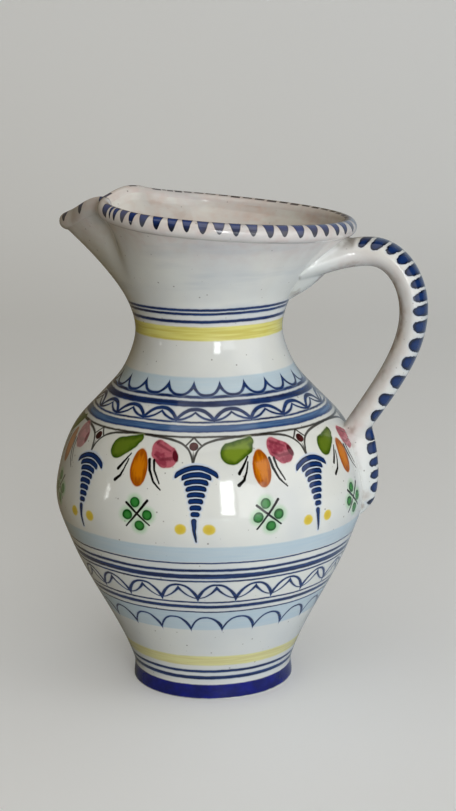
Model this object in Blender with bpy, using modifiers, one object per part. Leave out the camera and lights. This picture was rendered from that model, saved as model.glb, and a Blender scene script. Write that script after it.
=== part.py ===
"""Painted clay pitcher: a thrown body, a thrown mouth collar with a pinched beak,
and a pulled strap handle luted on with an upper and a lower wad of clay.

Metres, +Z up. The origin is the centre of the foot's flat underside.
The beak points to -X and the handle to +X.
"""

from math import atan, atan2, cos, exp, hypot, pi, radians, sin

import bmesh
import bpy
from mathutils import Matrix, Vector

MM = 0.001

# Clay walls and the slip joints between the pieces
SLIP_GAP = 0.3 * MM
BODY_WALL = 5.5 * MM
COLLAR_WALL = 4.5 * MM
BASE_THICKNESS = 8.0 * MM
SEAM_RISE = 10.0 * MM
SEAM_BEVEL = 3.0 * MM

# Turned outline from the foot up: the radius at each station, and its rise above the one below
FOOT_RADIUS = 41.7 * MM
WAIST_RADIUS = 41.0 * MM
WAIST_RISE = 8.0 * MM
HEEL_RADIUS = 43.3 * MM
HEEL_RISE = 8.0 * MM
FLANK_RADIUS = 73.0 * MM
FLANK_RISE = 62.0 * MM
BELLY_RADIUS = 79.5 * MM
BELLY_RISE = 23.0 * MM
SHOULDER_RADIUS = 76.5 * MM
SHOULDER_RISE = 17.0 * MM
CROWN_RADIUS = 69.5 * MM
CROWN_RISE = 17.0 * MM
SLOPE_RADIUS = 55.8 * MM
SLOPE_RISE = 15.0 * MM
THROAT_RADIUS = 43.0 * MM
THROAT_RISE = 15.0 * MM
NECK_RADIUS = 37.0 * MM
NECK_RISE = 19.0 * MM
FLARE_RADIUS = 40.4 * MM
FLARE_RISE = 14.0 * MM
FUNNEL_RADIUS = 51.8 * MM
FUNNEL_RISE = 14.0 * MM
LIP_RADIUS = 70.0 * MM
LIP_RISE = 18.0 * MM

# Rolled rim, and the beak pinched into it
RIM_ROLL_RADIUS = 4.2 * MM
BEAK_REACH = 75.6 * MM
BEAK_SIDE_RADIUS = 67.5 * MM
BEAK_NOSE_ANGLE = radians(15)
BEAK_CREASE_ANGLE = radians(46)
BEAK_FADE_ANGLE = radians(82)
BEAK_SHOULDER_LIFT = 12.3 * MM
BEAK_TIP_LIFT = 2.5 * MM
LIFT_POWER = 1.8
TIP_DROP_POWER = 0.7

# Pulled strap handle
STRAP_THICKNESS = 14.0 * MM
STRAP_WIDTH = 24.0 * MM
STRAP_TOP_SCALE = 1.04
STRAP_END_SCALE = 0.86
STRAP_STANDOFF = 23.3 * MM
STRAP_TOP_REACH = 11.0 * MM
STRAP_TOP_DROP = 7.2 * MM
STRAP_BOW_DROP = 36.5 * MM
STRAP_ROOT_DEPTH = 12.0 * MM
UPPER_JOINT_DROP = 12.5 * MM
UPPER_JOINT_ANGLE = radians(20)
LOWER_JOINT_RISE = 31.0 * MM
LOWER_JOINT_ANGLE = radians(56)

# Shares of a span that the path's curves lean on, for a round quarter and for the straighter runs
QUARTER_ARM = 0.55
TOP_ARM = 0.36
BOW_ARM = 0.27
FALL_ARM = 0.46

# Wads of clay that lute the strap to the collar and to the belly
UPPER_WAD_LENGTH = 39.0 * MM
UPPER_WAD_WIDTH = 34.0 * MM
UPPER_WAD_DEPTH = 11.6 * MM
UPPER_WAD_DROP = 5.0 * MM
LOWER_WAD_WIDTH = 30.0 * MM
LOWER_WAD_DEPTH = 9.8 * MM
LOWER_WAD_TOP_RISE = 34.0 * MM
LOWER_WAD_TAIL_DROP = 13.5 * MM
LOWER_WAD_HEAD_SCALE = 0.85
LOWER_WAD_BULGE_SHARE = 0.30
LOWER_WAD_TAIL_SHARE = 0.62
LOWER_WAD_TAIL_SCALE = 0.70
LOWER_WAD_END_SCALE = 0.14

# Smoothness of the solids
TURN_STEPS = 64
SPAN_STEPS = 2
INNER_SPAN_STEPS = 1
ROLL_STEPS = 10
SECTION_POINTS = 20
PATH_STEPS = 10
WAD_SEGMENTS = 28
WAD_RINGS = 16
CREASE_ANGLE = radians(50)
WELD_DISTANCE = 0.01 * MM

BODY_COLOUR = (0.66, 0.66, 0.62)
COLLAR_COLOUR = (0.62, 0.61, 0.58)
HANDLE_COLOUR = (0.60, 0.57, 0.55)
GLAZE_ROUGHNESS = 0.12

STATION_SIZES = (
    (FOOT_RADIUS, 0.0),
    (WAIST_RADIUS, WAIST_RISE),
    (HEEL_RADIUS, HEEL_RISE),
    (FLANK_RADIUS, FLANK_RISE),
    (BELLY_RADIUS, BELLY_RISE),
    (SHOULDER_RADIUS, SHOULDER_RISE),
    (CROWN_RADIUS, CROWN_RISE),
    (SLOPE_RADIUS, SLOPE_RISE),
    (THROAT_RADIUS, THROAT_RISE),
    (NECK_RADIUS, NECK_RISE),
    (FLARE_RADIUS, FLARE_RISE),
    (FUNNEL_RADIUS, FUNNEL_RISE),
    (LIP_RADIUS, LIP_RISE),
)
STATION_RADII = [radius for radius, rise in STATION_SIZES]
STATION_HEIGHTS = []
for _radius, rise in STATION_SIZES:
    STATION_HEIGHTS.append(rise + (STATION_HEIGHTS[-1] if STATION_HEIGHTS else 0.0))

BELLY_Z = STATION_HEIGHTS[STATION_SIZES.index((BELLY_RADIUS, BELLY_RISE))]
NECK_Z = STATION_HEIGHTS[STATION_SIZES.index((NECK_RADIUS, NECK_RISE))]
LIP_Z = STATION_HEIGHTS[-1]
SEAM_Z = NECK_Z + SEAM_RISE


def clear_scene():
    for obj in list(bpy.data.objects):
        bpy.data.objects.remove(obj, do_unlink=True)


def new_collection(name):
    collection = bpy.data.collections.new(name)
    bpy.context.scene.collection.children.link(collection)
    return collection


def smooth_step(value):
    held = min(max(value, 0.0), 1.0)
    return held * held * (3.0 - 2.0 * held)


def station_leans():
    """Radius gained per metre of height at each station, with no overshoot between stations."""
    gains = []
    for i in range(len(STATION_SIZES) - 1):
        rise = STATION_HEIGHTS[i + 1] - STATION_HEIGHTS[i]
        gains.append((STATION_RADII[i + 1] - STATION_RADII[i]) / rise)
    leans = [gains[0]]
    for below, above in zip(gains, gains[1:]):
        turns_back = below * above <= 0.0
        leans.append(0.0 if turns_back else 2.0 * below * above / (below + above))
    leans.append(gains[-1])
    return leans


STATION_LEANS = station_leans()


def outline_at(z):
    """Outer radius and lean of the turned outline at a height."""
    span = 0
    while span < len(STATION_SIZES) - 2 and z > STATION_HEIGHTS[span + 1]:
        span += 1
    low = STATION_HEIGHTS[span]
    rise = STATION_HEIGHTS[span + 1] - low
    t = min(max((z - low) / rise, 0.0), 1.0)
    start, end = STATION_RADII[span], STATION_RADII[span + 1]
    lean_start, lean_end = STATION_LEANS[span] * rise, STATION_LEANS[span + 1] * rise
    radius = (
        start * (2 * t**3 - 3 * t**2 + 1)
        + lean_start * (t**3 - 2 * t**2 + t)
        + end * (3 * t**2 - 2 * t**3)
        + lean_end * (t**3 - t**2)
    )
    lean = (
        (end - start) * (6 * t - 6 * t**2)
        + lean_start * (3 * t**2 - 4 * t + 1)
        + lean_end * (3 * t**2 - 2 * t)
    ) / rise
    return radius, lean


def sample_heights(bottom, top, steps):
    """Heights from bottom to top, with the stations between them and even steps in each span."""
    stops = [bottom]
    for height in STATION_HEIGHTS:
        if bottom < height < top:
            stops.append(height)
    stops.append(top)
    heights = []
    for low, high in zip(stops, stops[1:]):
        for i in range(steps):
            heights.append(low + (high - low) * i / steps)
    heights.append(top)
    return heights


def wall_line(bottom, top, steps, outward=0.0):
    """Points (radius, height) of the outline, moved square to the wall by outward, from bottom to top."""
    points = []
    for z in sample_heights(bottom, top, steps):
        radius, lean = outline_at(z)
        length = hypot(1.0, lean)
        points.append((radius + outward / length, z - outward * lean / length))
    return points


def rim_roll(radius, first_angle, last_angle):
    """Arc of the rolled rim in section, from its underside round the outside to its inner face."""
    centre_z = LIP_Z + RIM_ROLL_RADIUS
    points = []
    for i in range(ROLL_STEPS + 1):
        angle = first_angle + (last_angle - first_angle) * i / ROLL_STEPS
        points.append((LIP_RADIUS + radius * cos(angle), centre_z + radius * sin(angle)))
    return points


def link(obj, collection, material=None):
    collection.objects.link(obj)
    if material is not None:
        obj.data.materials.append(material)
    return obj


def glaze(name, colour):
    material = bpy.data.materials.new(name)
    material.use_nodes = True
    shader = material.node_tree.nodes["Principled BSDF"]
    shader.inputs["Base Color"].default_value = (*colour, 1.0)
    shader.inputs["Roughness"].default_value = GLAZE_ROUGHNESS
    shader.inputs["Metallic"].default_value = 0.0
    return material


def shade_round(mesh):
    mesh.shade_smooth()
    mesh.set_sharp_from_angle(angle=CREASE_ANGLE)


def plain_mesh(obj, name):
    """A mesh of the object as its modifiers and bevels shape it, welded, in place of that object."""
    bpy.context.scene.collection.objects.link(obj)
    graph = bpy.context.evaluated_depsgraph_get()
    mesh = bpy.data.meshes.new_from_object(obj.evaluated_get(graph))
    mesh.transform(obj.matrix_world)
    edit = bmesh.new()
    edit.from_mesh(mesh)
    bmesh.ops.remove_doubles(edit, verts=edit.verts, dist=WELD_DISTANCE)
    bmesh.ops.recalc_face_normals(edit, faces=edit.faces)
    edit.to_mesh(mesh)
    edit.free()
    mesh.name = name
    bpy.data.objects.remove(obj, do_unlink=True)
    return bpy.data.objects.new(name, mesh)


def turned(name, outline, closed):
    """A turned solid from an outline that runs down its outer side, top to bottom."""
    mesh = bpy.data.meshes.new(name)
    edges = [(i, i + 1) for i in range(len(outline) - 1)]
    if closed:
        edges.append((len(outline) - 1, 0))
    mesh.from_pydata([(radius, 0.0, z) for radius, z in outline], edges, [])
    obj = bpy.data.objects.new(name, mesh)
    screw = obj.modifiers.new("turn", "SCREW")
    screw.axis = "Z"
    screw.steps = TURN_STEPS
    screw.render_steps = TURN_STEPS
    screw.use_merge_vertices = True
    screw.merge_threshold = WELD_DISTANCE
    return obj


def cut_away(obj, cutter):
    boolean = obj.modifiers.new("cut_" + cutter.name, "BOOLEAN")
    boolean.operation = "DIFFERENCE"
    boolean.solver = "EXACT"
    boolean.object = cutter


def make_cutter(obj, collection):
    collection.objects.link(obj)
    obj.hide_render = True
    obj.display_type = "WIRE"
    return obj


def make_body(collection):
    """Foot, belly and lower neck, thrown as one hollow with a flat floor and a bevelled top edge."""
    outer = wall_line(0.0, SEAM_Z, SPAN_STEPS)
    inner_top = SEAM_Z + SEAM_BEVEL
    inner = wall_line(BASE_THICKNESS, inner_top, INNER_SPAN_STEPS, -BODY_WALL)
    floor_edge = BASE_THICKNESS + BODY_WALL
    wall_inside = [point for point in inner if floor_edge < point[1] < inner_top]
    floor_radius = outline_at(BASE_THICKNESS)[0] - 2.0 * BODY_WALL
    top_radius = outline_at(inner_top)[0] - BODY_WALL
    outline = outer[::-1] + [(0.0, 0.0), (0.0, BASE_THICKNESS), (floor_radius, BASE_THICKNESS)]
    outline += wall_inside + [(top_radius, inner_top)]
    obj = turned("body", outline, closed=True)
    shade_round(obj.data)
    return link(obj, collection, glaze("body_glaze", BODY_COLOUR))


def beak_squeeze(angle):
    """How far the lip is drawn in or out, as a factor on its radius, at an angle from the beak's nose."""
    rim = LIP_RADIUS + RIM_ROLL_RADIUS
    side = BEAK_SIDE_RADIUS / rim
    nose = (BEAK_REACH - BEAK_SIDE_RADIUS) / rim
    fade = smooth_step((angle - BEAK_CREASE_ANGLE) / (BEAK_FADE_ANGLE - BEAK_CREASE_ANGLE))
    return side + (1.0 - side) * fade + nose * exp(-((angle / BEAK_NOSE_ANGLE) ** 2))


def rim_lift(angle):
    """How far the lip stands above its height at the handle: highest at the creases, low at the nose."""
    if angle > BEAK_CREASE_ANGLE:
        share = (pi - angle) / (pi - BEAK_CREASE_ANGLE)
        return BEAK_SHOULDER_LIFT * share**LIFT_POWER
    share = 0.5 - 0.5 * cos(pi * angle / BEAK_CREASE_ANGLE)
    return BEAK_TIP_LIFT + (BEAK_SHOULDER_LIFT - BEAK_TIP_LIFT) * share**TIP_DROP_POWER


def pinch_beak(mesh):
    """Draws the turned collar's mouth into a beak at -X, more and more from the seam up to the lip."""
    start_z = SEAM_Z + SEAM_BEVEL + SLIP_GAP
    for vertex in mesh.vertices:
        x, y, z = vertex.co
        angle = abs(atan2(y, -x))
        share = smooth_step((z - start_z) / (LIP_Z - start_z))
        factor = 1.0 + (beak_squeeze(angle) - 1.0) * share
        vertex.co = (x * factor, y * factor, z + rim_lift(angle) * share)


def make_collar(collection):
    """Upper neck and flared mouth with a rolled rim, seated on the body's bevelled edge."""
    outer = wall_line(SEAM_Z + SLIP_GAP, LIP_Z, SPAN_STEPS)
    inner_bottom = SEAM_Z + SEAM_BEVEL + SLIP_GAP
    inner = wall_line(inner_bottom, LIP_Z, SPAN_STEPS, -COLLAR_WALL)
    wall_inside = [point for point in inner[:-1] if point[1] > inner_bottom]
    bottom_radius = outline_at(inner_bottom)[0] - BODY_WALL
    roll = rim_roll(RIM_ROLL_RADIUS, -0.5 * pi, pi)
    outline = outer[:-1] + roll + wall_inside[::-1] + [(bottom_radius, inner_bottom)]
    obj = plain_mesh(turned("collar_turned", outline[::-1], closed=True), "mouth_collar")
    pinch_beak(obj.data)
    shade_round(obj.data)
    return link(obj, collection, glaze("collar_glaze", COLLAR_COLOUR))


def make_vessel_cutter(collection):
    """The outside of body and collar, grown by the slip gap, that the handle pieces are cut to fit."""
    outer = wall_line(0.0, LIP_Z, SPAN_STEPS, SLIP_GAP)
    roll = rim_roll(RIM_ROLL_RADIUS + SLIP_GAP, -0.5 * pi, 0.5 * pi)
    roll_top = roll[-1][1]
    outline = [(0.0, roll_top)] + (outer[:-1] + roll)[::-1] + [(0.0, outer[0][1])]
    cutter = plain_mesh(turned("vessel_turned", outline, closed=False), "vessel_outside")
    return make_cutter(cutter, collection)


def section_curve(name, thickness, width):
    """Closed oval section for a strap: thickness across the bow, width square to it."""
    curve = bpy.data.curves.new(name, "CURVE")
    curve.dimensions = "2D"
    spline = curve.splines.new("POLY")
    spline.points.add(SECTION_POINTS - 1)
    for i, point in enumerate(spline.points):
        angle = 2.0 * pi * i / SECTION_POINTS
        point.co = (0.5 * thickness * cos(angle), 0.5 * width * sin(angle), 0.0, 1.0)
    spline.use_cyclic_u = True
    return bpy.data.objects.new(name, curve)


def swept(name, knots, thickness, width):
    """A capped strap along a smooth path in the XZ plane. A knot is (place, tangent, arm in, arm out, scale)."""
    section = section_curve(name + "_section", thickness, width)
    curve = bpy.data.curves.new(name + "_path", "CURVE")
    curve.dimensions = "2D"
    curve.resolution_u = PATH_STEPS
    curve.bevel_mode = "OBJECT"
    curve.bevel_object = section
    curve.use_fill_caps = True
    spline = curve.splines.new("BEZIER")
    spline.bezier_points.add(len(knots) - 1)
    spline.radius_interpolation = "CARDINAL"
    for point, (place, tangent, arm_in, arm_out, scale) in zip(spline.bezier_points, knots):
        point.handle_left_type = "FREE"
        point.handle_right_type = "FREE"
        point.co = (place.x, place.y, 0.0)
        point.handle_left = (place - tangent * arm_in).to_3d()
        point.handle_right = (place + tangent * arm_out).to_3d()
        point.radius = scale
    path = bpy.data.objects.new(name + "_path", curve)
    path.matrix_world = Matrix.Rotation(0.5 * pi, 4, "X")
    obj = plain_mesh(path, name)
    bpy.data.objects.remove(section, do_unlink=True)
    return obj


def strap_knots():
    """The strap's path from the collar over its top and down its bow to the belly, as (x, z) places."""
    upper_z = LIP_Z - UPPER_JOINT_DROP
    lower_z = BELLY_Z + LOWER_JOINT_RISE
    out_of_collar = Vector((cos(UPPER_JOINT_ANGLE), sin(UPPER_JOINT_ANGLE)))
    into_belly = -Vector((cos(LOWER_JOINT_ANGLE), sin(LOWER_JOINT_ANGLE)))
    upper = Vector((outline_at(upper_z)[0], upper_z)) - out_of_collar * STRAP_ROOT_DEPTH
    lower = Vector((outline_at(lower_z)[0], lower_z)) + into_belly * STRAP_ROOT_DEPTH
    top = Vector((LIP_RADIUS + STRAP_TOP_REACH, LIP_Z - STRAP_TOP_DROP))
    bow = Vector((BELLY_RADIUS + STRAP_STANDOFF, LIP_Z - STRAP_BOW_DROP))
    over = (bow.x - top.x) * QUARTER_ARM
    down = (top.y - bow.y) * QUARTER_ARM
    along = (top - upper).length * TOP_ARM
    fall = (bow - lower).length
    return (
        (upper, out_of_collar, 0.0, along, STRAP_TOP_SCALE),
        (top, Vector((1.0, 0.0)), along, over, STRAP_TOP_SCALE),
        (bow, Vector((0.0, -1.0)), down, fall * BOW_ARM, 1.0),
        (lower, into_belly, fall * FALL_ARM, 0.0, STRAP_END_SCALE),
    )


def make_strap(collection, vessel):
    """The pulled strap, its two ends cut to the walls that it is luted to."""
    obj = swept("handle_strap", strap_knots(), STRAP_THICKNESS, STRAP_WIDTH)
    cut_away(obj, vessel)
    shade_round(obj.data)
    return link(obj, collection, glaze("strap_glaze", HANDLE_COLOUR))


def make_strap_cutter(collection):
    grown = 2.0 * SLIP_GAP / STRAP_END_SCALE
    cutter = swept("strap_outside", strap_knots(), STRAP_THICKNESS + grown, STRAP_WIDTH + grown)
    return make_cutter(cutter, collection)


def make_upper_wad(collection, vessel, strap_outside):
    """Clay smeared round the strap's upper end, down the flare and under the rim."""
    z = LIP_Z - UPPER_JOINT_DROP - UPPER_WAD_DROP
    radius, lean = outline_at(z)
    edit = bmesh.new()
    bmesh.ops.create_uvsphere(edit, u_segments=WAD_SEGMENTS, v_segments=WAD_RINGS, radius=0.5)
    size = Matrix.Diagonal((UPPER_WAD_DEPTH, UPPER_WAD_WIDTH, UPPER_WAD_LENGTH, 1.0))
    tilt = Matrix.Rotation(atan(lean), 4, "Y")
    edit.transform(Matrix.Translation((radius, 0.0, z)) @ tilt @ size)
    mesh = bpy.data.meshes.new("upper_wad")
    edit.to_mesh(mesh)
    edit.free()
    obj = bpy.data.objects.new("upper_wad", mesh)
    cut_away(obj, vessel)
    cut_away(obj, strap_outside)
    shade_round(mesh)
    return link(obj, collection, glaze("upper_wad_glaze", COLLAR_COLOUR))


def lower_wad_knots():
    """The wad's path down the belly: a rounded head on the strap's end, then a thinning tail."""
    head_z = BELLY_Z + LOWER_WAD_TOP_RISE
    tail_z = BELLY_Z - LOWER_WAD_TAIL_DROP
    stops = (
        (0.0, LOWER_WAD_HEAD_SCALE),
        (LOWER_WAD_BULGE_SHARE, 1.0),
        (LOWER_WAD_TAIL_SHARE, LOWER_WAD_TAIL_SCALE),
        (1.0, LOWER_WAD_END_SCALE),
    )
    arm = (head_z - tail_z) / (len(stops) - 1) / 3.0
    knots = []
    for share, scale in stops:
        z = head_z + (tail_z - head_z) * share
        radius, lean = outline_at(z)
        tangent = -Vector((lean, 1.0)).normalized()
        knots.append((Vector((radius, z)), tangent, arm, arm, scale))
    return knots


def make_lower_wad(collection, vessel, strap_outside):
    """Thumbed clay under the strap's lower end, drawn out into a tail down the belly."""
    obj = swept("lower_wad", lower_wad_knots(), 2.0 * LOWER_WAD_DEPTH, LOWER_WAD_WIDTH)
    cut_away(obj, vessel)
    cut_away(obj, strap_outside)
    shade_round(obj.data)
    return link(obj, collection, glaze("lower_wad_glaze", BODY_COLOUR))


def main():
    clear_scene()
    pitcher = new_collection("clay_pitcher")
    cutters = new_collection("fitting_shapes")
    make_body(pitcher)
    make_collar(pitcher)
    vessel = make_vessel_cutter(cutters)
    strap_outside = make_strap_cutter(cutters)
    make_strap(pitcher, vessel)
    make_upper_wad(pitcher, vessel, strap_outside)
    make_lower_wad(pitcher, vessel, strap_outside)


main()
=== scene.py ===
"""Looks of the painted clay pitcher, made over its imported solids.

The turned forms and the strap come from node trees, the painting from shader nodes.
Lengths are in millimetres until a mesh is made; the frame is the solids' own:
origin under the foot, +Z up, beak at -X, handle at +X.
"""

from contextlib import contextmanager
from functools import reduce
from math import atan2, cos, exp, hypot, pi, radians, sin

import bmesh
import bpy
import numpy as np
from mathutils import Matrix, Vector


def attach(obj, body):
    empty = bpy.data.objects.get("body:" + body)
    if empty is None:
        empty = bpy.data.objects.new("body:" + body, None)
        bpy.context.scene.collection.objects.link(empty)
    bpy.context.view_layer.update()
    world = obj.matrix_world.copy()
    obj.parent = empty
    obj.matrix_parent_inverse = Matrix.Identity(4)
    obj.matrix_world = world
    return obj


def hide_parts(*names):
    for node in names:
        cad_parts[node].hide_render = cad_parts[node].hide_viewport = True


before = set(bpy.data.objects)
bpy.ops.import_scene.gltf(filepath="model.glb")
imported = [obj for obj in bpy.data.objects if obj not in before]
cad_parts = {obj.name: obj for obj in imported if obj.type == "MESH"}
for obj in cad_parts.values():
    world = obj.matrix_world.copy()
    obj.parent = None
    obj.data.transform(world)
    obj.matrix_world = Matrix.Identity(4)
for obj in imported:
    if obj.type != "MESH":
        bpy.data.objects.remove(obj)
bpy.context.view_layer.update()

MM = 0.001
# Points closer than this, in metres, become one
WELD = 0.000002
SHARP_EDGE = radians(48)
TURN_STEPS = 216
# Bare edge round the map for baking, as a share of its side
MAP_EDGE = 0.004
# The handle's skin: size of its cells, rounds of smoothing, and how deep it beds in the wall
SKIN_CELL = 0.75
SKIN_ROUNDS = 8
SKIN_BED = 2.4

# Sizes repeated from the solids
STATIONS = (
    (41.7, 0.0), (41.0, 8.0), (43.3, 16.0), (73.0, 78.0), (79.5, 101.0), (76.5, 118.0), (69.5, 135.0),
    (55.8, 150.0), (43.0, 165.0), (37.0, 184.0), (40.4, 198.0), (51.8, 212.0), (70.0, 230.0),
)
LIP_RADIUS, LIP_Z = STATIONS[-1]
BELLY_RADIUS, BELLY_Z = STATIONS[4]
SEAM_Z = 194.15
SEAM_BEVEL = 3.0
BODY_WALL = 5.5
COLLAR_WALL = 4.5
FLOOR_Z = 8.0
ROLL = 4.2
BEAK_REACH = 75.6
BEAK_SIDE = 67.5
BEAK_NOSE = radians(15)
BEAK_CREASE = radians(46)
BEAK_FADE = radians(82)
SHOULDER_LIFT = 12.3
TIP_LIFT = 2.5
STRAP_THICK = 14.0
STRAP_WIDTH = 24.0
STRAP_STANDOFF = 23.3
STRAP_TOP_REACH = 11.0
STRAP_TOP_DROP = 7.2
STRAP_BOW_DROP = 36.5
STRAP_ROOT_DEPTH = 12.0
UPPER_JOINT_ANGLE = radians(20)
LOWER_JOINT_ANGLE = radians(56)

# The strap's joints, which lie a little off the solids' here, and its taper from the top to the belly
UPPER_JOINT_DROP = 11.9
LOWER_JOINT_RISE = 29.0
STRAP_START, STRAP_END, STRAP_END_WIDTH = 1.02, 0.84, 0.62
# How much wider the strap is where it leaves the collar
STRAP_SPREAD = 0.76

# The beak's finish by hand: where the roll is pressed flat, the fold on each side, and the crest beside it
PRESS_SHARE = 0.62
PRESS_START, PRESS_START_RUN = radians(5), radians(12)
PRESS_END, PRESS_END_RUN = radians(46), radians(9)
FOLD = radians(41)
FOLD_TO_BEAK, FOLD_TO_SIDE = radians(12), radians(6)
FOLD_DEPTH, FAR_FOLD_DEPTH = 6.0, 1.8
FOLD_FADE = 2.4
CREST, CREST_HALF, CREST_LIFT = radians(36), radians(10), 1.9

# The picture's frame and the camera's place, found from the painted hoops
PICTURE_HEIGHT = 811
FOCAL_PIXELS = 1574.2
CAMERA_PLACE = (0.1367, -0.7751, 0.3099)
CAMERA_TURN = radians(10.0 - 0.669)
CAMERA_DIP = radians(11.972)
CAMERA_ROLL = radians(-0.566)
# Degrees from the painted front to +X
FRONT_ANGLE = 80.0


# Node trees

class Value:
    """A socket in a node tree. Arithmetic on it adds Math nodes to that tree."""

    def __init__(self, nodes, node, out=0):
        self.nodes = nodes
        self.node = node
        self.socket = node.outputs[out] if len(node.outputs) else None

    def out(self, name):
        return Value(self.nodes, self.node, name)

    def __abs__(self):
        return self.nodes.math("ABSOLUTE", self)

    def root(self):
        return self.nodes.math("SQRT", self)

    def ease(self, start, end, low=0.0, high=1.0):
        """Goes smoothly from low at start to high at end, and stays there."""
        settings = {"interpolation_type": "SMOOTHSTEP", "clamp": True}
        return self.nodes.make("ShaderNodeMapRange", settings, self, start, end, low, high)

    def slide(self, start, end, low=0.0, high=1.0):
        """Goes evenly from low at start to high at end, and stays there."""
        return self.nodes.make("ShaderNodeMapRange", {"clamp": True}, self, start, end, low, high)


def operator_pair(operation):
    """A Math node's operation as two methods, for a value on the left and on the right of the sign."""
    return (
        lambda value, other: value.nodes.math(operation, value, other),
        lambda value, other: value.nodes.math(operation, other, value),
    )


for sign, name in (
    ("add", "ADD"), ("sub", "SUBTRACT"), ("mul", "MULTIPLY"), ("truediv", "DIVIDE"), ("pow", "POWER"),
):
    on_left, on_right = operator_pair(name)
    setattr(Value, f"__{sign}__", on_left)
    setattr(Value, f"__r{sign}__", on_right)


class Nodes:
    """A node tree that grows by make(): a node's type, its settings, then its sockets' values or links."""

    def __init__(self, tree):
        self.tree = tree

    def make(self, kind, settings=None, *values, out=0, **named):
        node = self.tree.nodes.new(kind)
        for name, setting in (settings or {}).items():
            setattr(node, name, setting)
        sockets = list(enumerate(values)) + [(name.replace("_", " "), value) for name, value in named.items()]
        for key, value in sockets:
            self.put(node.inputs[key], value)
        return Value(self, node, out)

    def put(self, socket, value):
        if isinstance(value, Value):
            self.tree.links.new(value.socket, socket)
        elif value is not None:
            socket.default_value = value

    def math(self, operation, *values, clamp=False):
        return self.make("ShaderNodeMath", {"operation": operation, "use_clamp": clamp}, *values)

    def least(self, *values):
        return reduce(lambda one, other: self.math("MINIMUM", one, other), values)

    def most(self, *values):
        return reduce(lambda one, other: self.math("MAXIMUM", one, other), values)

    def vector(self, operation, *values, out=0, **named):
        return self.make("ShaderNodeVectorMath", {"operation": operation}, *values, out=out, **named)

    def join(self, x, y, z=0.0):
        return self.make("ShaderNodeCombineXYZ", None, x, y, z)

    def split(self, vector):
        parts = self.make("ShaderNodeSeparateXYZ", None, vector)
        return parts, parts.out(1), parts.out(2)

    def noise(self, vector, scale, detail=2.0, out=0):
        settings = {"noise_dimensions": "3D"}
        return self.make("ShaderNodeTexNoise", settings, Vector=vector, Scale=scale, Detail=detail, out=out)

    def streaks(self, vector, scales, detail):
        """Noise with a scale of its own along each axis."""
        return self.noise(self.vector("MULTIPLY", vector, scales), 1.0, detail)

    def chance(self, value):
        """Three fixed random numbers for each whole number."""
        settings = {"noise_dimensions": "1D"}
        return self.split(self.make("ShaderNodeTexWhiteNoise", settings, W=value, out="Color"))

    def surface(self, **named):
        """The material's one shader and its output."""
        self.make("ShaderNodeOutputMaterial", None, self.make("ShaderNodeBsdfPrincipled", None, **named))

    def marks(self, name):
        """The parts of a vector that was stored on the mesh for the painting."""
        settings = {"attribute_type": "GEOMETRY", "attribute_name": name}
        return self.split(self.make("ShaderNodeAttribute", settings, out="Vector"))

    def blend(self, share, below, above):
        """Mixes two colours. The sockets between hold the plain numbers and vectors of the same node."""
        unused = [None] * 5
        return self.make("ShaderNodeMix", {"data_type": "RGBA"}, share, *unused, below, above, out=2)


def colour(red, green, blue):
    """A colour as the eye reads it on a screen, 0 to 255, made linear."""
    found = []
    for level in (red, green, blue):
        share = level / 255.0
        found.append(share / 12.92 if share <= 0.04045 else ((share + 0.055) / 1.055) ** 2.4)
    return (*found, 1.0)


# Turned outline

def station_leans():
    gains = []
    for (r0, z0), (r1, z1) in zip(STATIONS, STATIONS[1:]):
        gains.append((r1 - r0) / (z1 - z0))
    leans = [gains[0]]
    for below, above in zip(gains, gains[1:]):
        leans.append(0.0 if below * above <= 0.0 else 2.0 * below * above / (below + above))
    return leans + [gains[-1]]


LEANS = station_leans()


def raw_radius(z):
    span = 0
    while span < len(STATIONS) - 2 and z > STATIONS[span + 1][1]:
        span += 1
    (r0, z0), (r1, z1) = STATIONS[span], STATIONS[span + 1]
    rise = z1 - z0
    t = min(max((z - z0) / rise, 0.0), 1.0)
    bend0, bend1 = LEANS[span] * rise, LEANS[span + 1] * rise
    return (
        r0 * (2 * t**3 - 3 * t**2 + 1) + bend0 * (t**3 - 2 * t**2 + t)
        + r1 * (3 * t**2 - 2 * t**3) + bend1 * (t**3 - t**2)
    )


def wall_radius(z):
    """Outer radius at a height, eased a little between the stations as a thrower's rib eases clay."""
    reach = max(min(6.0, 0.25 * z, 0.5 * (LIP_Z - z)), 0.0)
    total = 0.0
    for step, weight in ((-1.0, 1), (-0.5, 4), (0.0, 6), (0.5, 4), (1.0, 1)):
        total += weight * raw_radius(z + step * reach)
    return total / 16.0


def wall_lean(z):
    return (wall_radius(z + 0.2) - wall_radius(z - 0.2)) / 0.4


def wall_points(bottom, top, step, inward=0.0):
    """Points (radius, height) up the wall, moved square to it by inward."""
    count = max(2, round((top - bottom) / step))
    points = []
    for i in range(count + 1):
        z = bottom + (top - bottom) * i / count
        lean = wall_lean(min(max(z, 0.2), LIP_Z - 0.2))
        length = hypot(1.0, lean)
        points.append((wall_radius(z) - inward / length, z + inward * lean / length))
    return points


def profile_length(points):
    return sum(hypot(b[0] - a[0], b[1] - a[1]) for a, b in zip(points, points[1:]))


# Forms that follow a line

def new_object(name, data):
    obj = bpy.data.objects.new(name, data)
    bpy.context.scene.collection.objects.link(obj)
    return obj


@contextmanager
def working(mesh):
    """A mesh open for work on its points and faces."""
    edit = bmesh.new()
    edit.from_mesh(mesh)
    yield edit
    edit.to_mesh(mesh)
    edit.free()


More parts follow.
